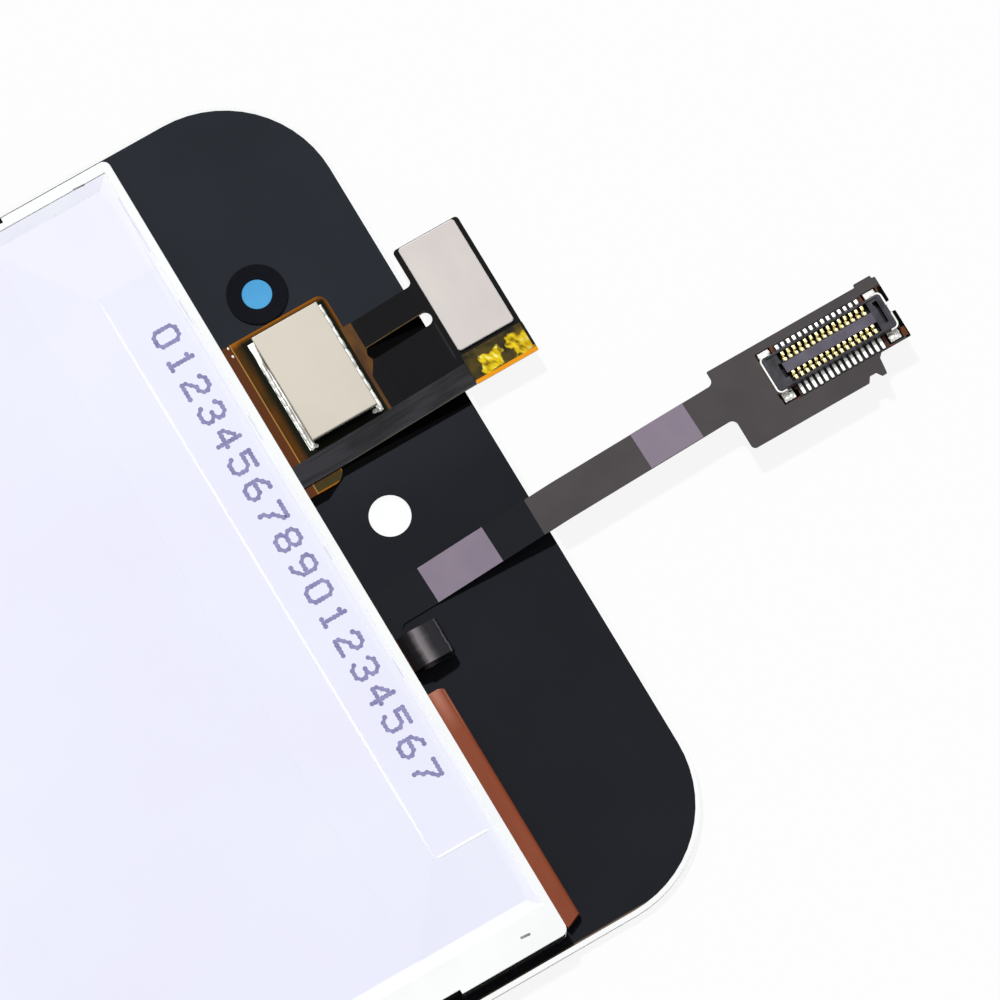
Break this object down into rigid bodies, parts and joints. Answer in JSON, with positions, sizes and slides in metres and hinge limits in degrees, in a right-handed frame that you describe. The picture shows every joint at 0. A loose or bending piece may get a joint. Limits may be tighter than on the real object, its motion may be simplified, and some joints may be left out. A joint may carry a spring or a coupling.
{
  "type": "lcd screen assembly",
  "caption": "Display assembly of a small portable player: glass front with touch sensor, backlit liquid crystal panel and flexible circuits with a board connector.",
  "frame": {"origin": "centre of the front face of the cover glass", "axes": "+Z out of the back of the assembly, away from the front glass face; +Y along its length, to the end where the flexible circuits leave; +X across"},
  "size_m": [0.0572, 0.1346, 0.0027],
  "materials": {
    "cover_glass": "polished float glass with ground edges",
    "black_print": "black ink printed on glass",
    "blue_filter": "blue filter film",
    "black_foam": "closed foam",
    "clear_adhesive": "clear optical adhesive",
    "touch_glass": "thin polished glass",
    "polariser": "dark polarising film",
    "panel_glass": "thin panel glass",
    "silicon": "bare silicon die",
    "backlight_film": "translucent optical film",
    "light_guide": "clear moulded acrylic",
    "lamp_body": "white lamp package with yellow window",
    "lamp_flex": "black coated flexible circuit",
    "white_frame": "white moulded polycarbonate",
    "black_tape": "black edge tape",
    "reflector_film": "satin white reflector film",
    "copper_flex": "copper coloured flexible circuit",
    "grey_flex": "dark grey coated flexible circuit",
    "stiffener": "dark laminate stiffener",
    "mauve_pad": "adhesive pad with its liner",
    "connector_body": "dark moulded connector plastic",
    "gold_contact": "gold plated spring contact",
    "tinned_nail": "tinned fitting nail",
    "touch_flex": "orange brown flexible circuit, black coated arms",
    "head_plate": "fine blasted steel plate",
    "amber_tape": "amber polyimide tape",
    "shield_metal": "nickel silver shield",
    "chip_body": "moulded chip body",
    "capacitor": "ceramic capacitor body",
    "ground_strip": "black conductive fabric strip"
  },
  "bodies": {
    "root": {"cover_glass": "cover_glass", "border_print": "black_print", "sensor_filter": "blue_filter", "sensor_gasket": "black_foam", "optical_adhesive": "clear_adhesive", "touch_sensor_glass": "touch_glass", "front_polariser": "polariser", "colour_filter_glass": "panel_glass", "tft_glass": "panel_glass", "rear_polariser": "polariser", "driver_chip": "silicon", "lower_prism_film": "backlight_film", "upper_prism_film": "backlight_film", "diffuser_film": "backlight_film", "light_guide_plate": "light_guide", "backlight_lamps": "lamp_body", "backlight_flex": "lamp_flex", "backlight_frame": "white_frame", "side_tape_left": "black_tape", "side_tape_right": "black_tape", "reflector_sheet": "reflector_film", "panel_flex": "copper_flex", "connector_flex": "grey_flex", "connector_stiffener": "stiffener", "neck_pad_glass": "mauve_pad", "neck_pad_free": "mauve_pad", "connector_housing": "connector_body", "contacts_left": "gold_contact", "contacts_right": "gold_contact", "nail_root": "tinned_nail", "nail_tip": "tinned_nail", "touch_flex": "touch_flex", "head_plate": "head_plate", "head_tape": "amber_tape", "test_pads": "gold_contact", "plug_housing": "connector_body", "plug_contacts": "gold_contact", "shield_frame": "shield_metal", "shield_lid": "shield_metal", "touch_controller": "chip_body", "board_capacitors": "capacitor", "ground_strip": "ground_strip"}
  },
  "joints": []
}
